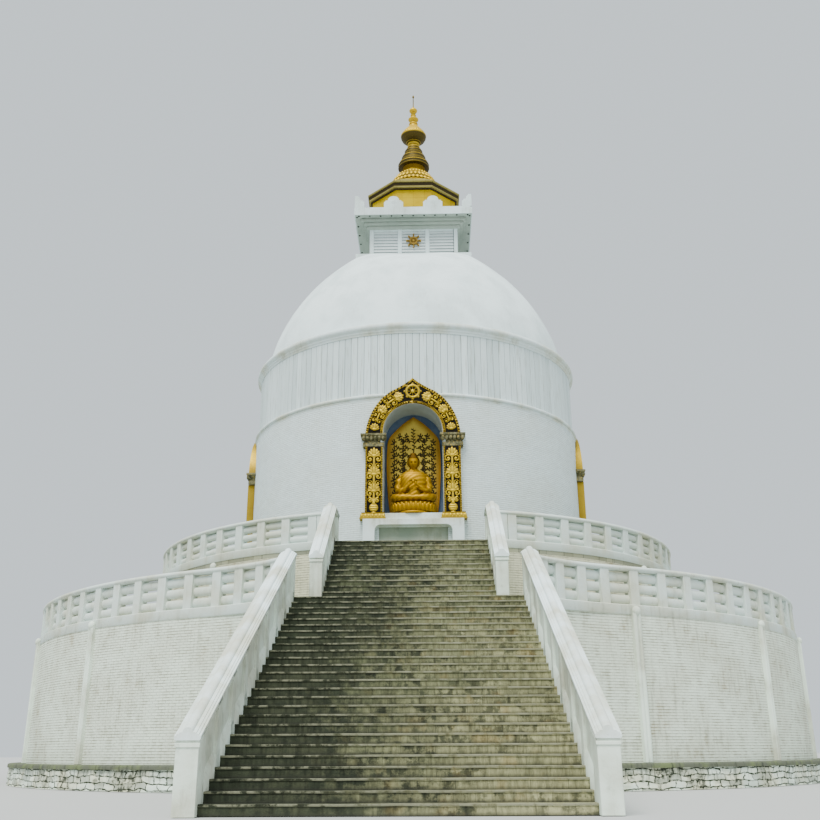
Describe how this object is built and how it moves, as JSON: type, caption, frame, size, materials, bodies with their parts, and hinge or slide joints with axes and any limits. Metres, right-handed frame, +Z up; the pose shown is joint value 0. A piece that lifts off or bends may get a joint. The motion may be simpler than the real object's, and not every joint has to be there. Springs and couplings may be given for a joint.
{
  "type": "hill-top stupa",
  "caption": "White masonry stupa on two round terraces with parapets, a straight front stair, a drum with gilded niches, a dome and a gilded crown.",
  "frame": {"origin": "on the ground at the stupa's vertical axis, in the middle of the plinth's underside", "axes": "+Z up, -Y towards the foot of the stair, +X to the right of a visitor who faces the stair"},
  "size_m": [29.1, 37.48, 31.2],
  "materials": {
    "white_plaster": "painted brick and plaster, rain-stained",
    "stair_stone": "rough cut stone with moss",
    "dark_stone": "rough dark blocks",
    "board_band": "painted upright panels, weathered",
    "louvre_paint": "pale paint, weathered",
    "gilding": "gilded relief, worn"
  },
  "bodies": {
    "root": {"stone_plinth": "dark_stone", "lower_drum": "white_plaster", "upper_drum": "white_plaster", "lower_parapet_1": "white_plaster", "lower_parapet_2": "white_plaster", "lower_parapet_3": "white_plaster", "lower_parapet_4": "white_plaster", "lower_parapet_5": "white_plaster", "lower_parapet_6": "white_plaster", "upper_parapet_1": "white_plaster", "upper_parapet_2": "white_plaster", "upper_parapet_3": "white_plaster", "upper_parapet_4": "white_plaster", "lower_flight": "stair_stone", "upper_flight": "stair_stone", "lower_stair_wall_right": "white_plaster", "lower_stair_wall_left": "white_plaster", "upper_stair_wall_right": "white_plaster", "upper_stair_wall_left": "white_plaster", "lower_coping_right": "white_plaster", "lower_coping_left": "white_plaster", "upper_coping_right": "white_plaster", "upper_coping_left": "white_plaster", "main_drum": "white_plaster", "drum_ring": "white_plaster", "board_band": "board_band", "shoulder_ring": "white_plaster", "dome": "white_plaster", "niche_frame_front": "gilding", "niche_frame_right": "gilding", "niche_frame_back": "gilding", "niche_frame_left": "gilding", "seated_figure_front": "gilding", "seated_figure_right": "gilding", "seated_figure_back": "gilding", "seated_figure_left": "gilding", "crown_base": "white_plaster", "louvre_box": "louvre_paint", "crown_cornice": "white_plaster", "crest": "white_plaster", "lantern": "gilding", "lantern_roof": "gilding", "spire_lotus": "gilding", "ringed_spire": "gilding", "vase_finial": "gilding"}
  },
  "joints": []
}
